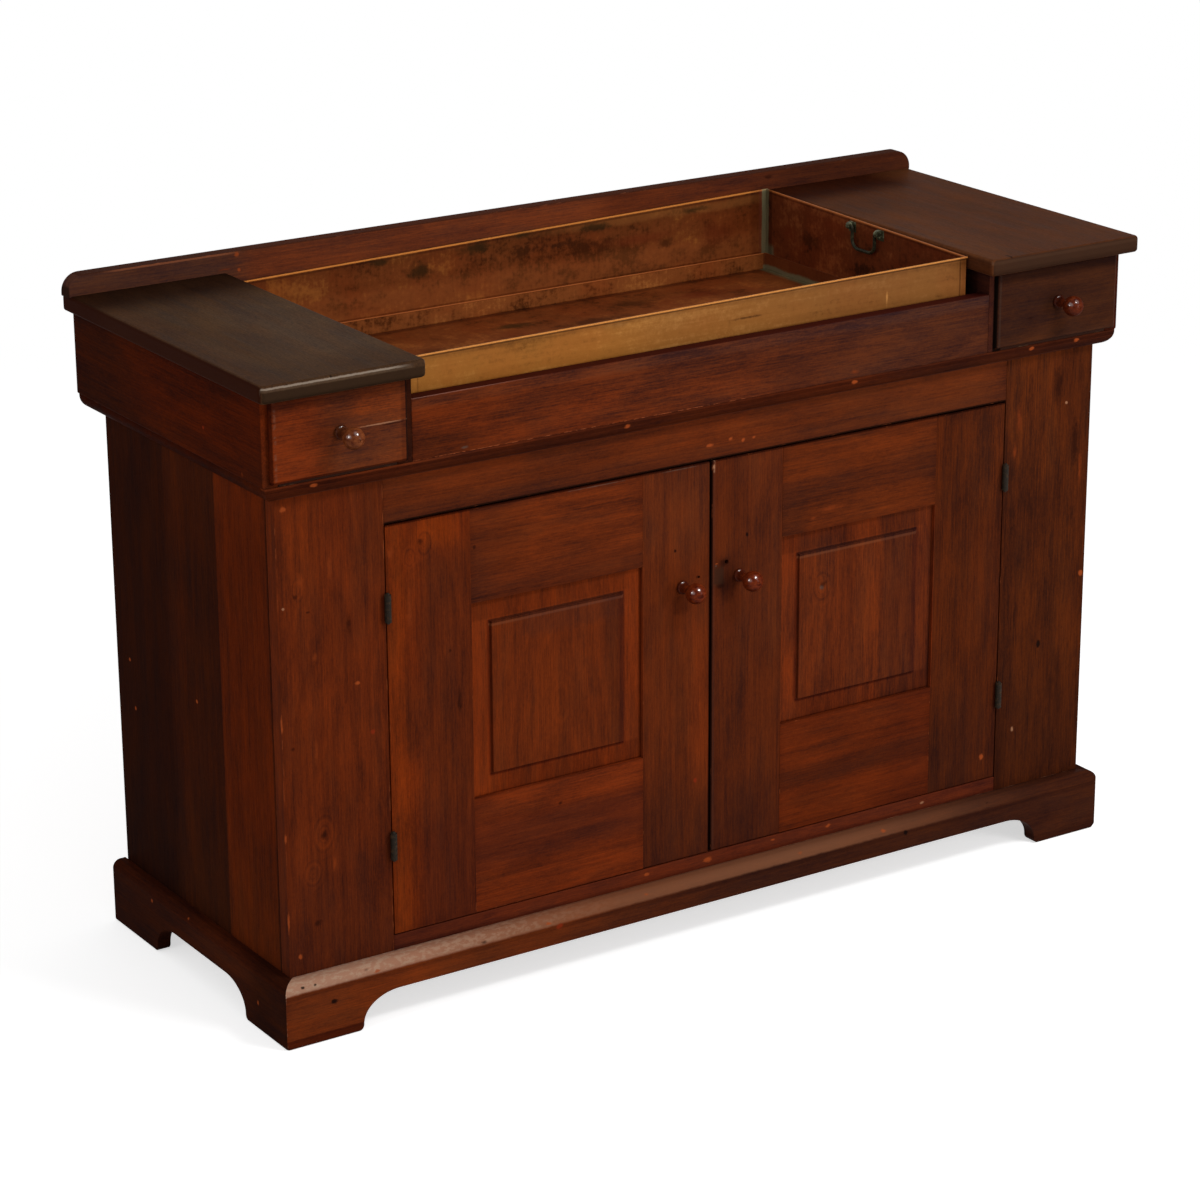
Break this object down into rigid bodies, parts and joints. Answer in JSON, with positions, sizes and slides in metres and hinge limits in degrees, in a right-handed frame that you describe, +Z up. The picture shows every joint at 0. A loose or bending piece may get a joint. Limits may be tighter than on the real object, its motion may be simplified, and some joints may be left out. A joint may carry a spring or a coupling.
{
  "type": "dry sink cabinet",
  "caption": "Dry sink cupboard with a lift-out copper tray between small drawers, panelled doors below and a bracket base.",
  "frame": {"origin": "on the floor at the middle of the space the cupboard fills, knobs included", "axes": "+X to the right seen from the front, +Y to the back, +Z up"},
  "size_m": [1.403, 0.5812, 0.932],
  "materials": {
    "stained_wood": "dark red-brown stain under a rubbed varnish",
    "top_wood": "almost black stain, worn to a soft sheen",
    "knob_wood": "turned and glossy",
    "inner_wood": "unfinished, aged pine",
    "copper": "aged copper sheet, stained brown inside and yellow outside",
    "bronze": "dark, with grey solder at the eyes",
    "iron": "darkened iron"
  },
  "bodies": {
    "case": {"left_side": "stained_wood", "right_side": "stained_wood", "left_stile": "stained_wood", "right_stile": "stained_wood", "top_rail": "stained_wood", "bottom_rail": "stained_wood", "case_floor": "inner_wood", "shelf": "inner_wood", "shelf_cleats": "inner_wood", "door_stop": "inner_wood", "back_boards": "inner_wood", "base_front": "stained_wood", "base_ends": "stained_wood", "foot_blocks": "inner_wood", "box_moulding": "stained_wood", "box_left_side": "stained_wood", "box_right_side": "stained_wood", "left_divider": "stained_wood", "right_divider": "stained_wood", "well_front": "stained_wood", "box_floors": "inner_wood", "box_back": "inner_wood", "left_top": "top_wood", "right_top": "top_wood", "gallery": "stained_wood", "hinge_case_leaves": "iron", "hinge_case_screws": "iron", "hinge_pins": "iron"},
    "left_drawer": {"left_drawer_front": "stained_wood", "left_drawer_box": "inner_wood", "left_drawer_bottom": "inner_wood", "left_drawer_knob": "knob_wood"},
    "right_drawer": {"right_drawer_front": "stained_wood", "right_drawer_box": "inner_wood", "right_drawer_bottom": "inner_wood", "right_drawer_knob": "knob_wood"},
    "left_door": {"left_door_outer_stile": "stained_wood", "left_door_inner_stile": "stained_wood", "left_door_top_rail": "stained_wood", "left_door_bottom_rail": "stained_wood", "left_door_panel": "stained_wood", "left_door_knob": "knob_wood", "left_door_hinge_leaves": "iron", "left_door_hinge_screws": "iron"},
    "right_door": {"right_door_outer_stile": "stained_wood", "right_door_inner_stile": "stained_wood", "right_door_top_rail": "stained_wood", "right_door_bottom_rail": "stained_wood", "right_door_panel": "stained_wood", "right_door_knob": "knob_wood", "right_door_hinge_leaves": "iron", "right_door_hinge_screws": "iron"},
    "tray": {"tray_front": "copper", "tray_back": "copper", "tray_left": "copper", "tray_right": "copper", "tray_pan": "copper", "tray_bail_eyes": "bronze"},
    "tray_left_bail": {"tray_left_bail": "bronze"},
    "tray_right_bail": {"tray_right_bail": "bronze"}
  },
  "joints": [
    {"name": "left_drawer_slide", "type": "slide", "parent": "case", "child": "left_drawer", "axis": [0, -1, 0], "range_m": [0, 0.36]},
    {"name": "right_drawer_slide", "type": "slide", "parent": "case", "child": "right_drawer", "axis": [0, -1, 0], "range_m": [0, 0.36]},
    {"name": "left_door_hinge", "type": "hinge", "parent": "case", "child": "left_door", "pos_m": [-0.5045, -0.22017, 0.397], "axis": [0, 0, -1], "range_deg": [0, 175]},
    {"name": "right_door_hinge", "type": "hinge", "parent": "case", "child": "right_door", "pos_m": [0.5045, -0.22017, 0.397], "axis": [0, 0, 1], "range_deg": [0, 175]},
    {"name": "tray_lift", "type": "slide", "parent": "case", "child": "tray", "axis": [0, 0, 1], "range_m": [0, 0.2]},
    {"name": "tray_left_bail_hinge", "type": "hinge", "parent": "tray", "child": "tray_left_bail", "pos_m": [-0.4505, 0.01438, 0.8834], "axis": [0, -1, 0], "range_deg": [0, 170]},
    {"name": "tray_right_bail_hinge", "type": "hinge", "parent": "tray", "child": "tray_right_bail", "pos_m": [0.4225, 0.01438, 0.89462], "axis": [0, 1, 0], "range_deg": [0, 170]}
  ]
}
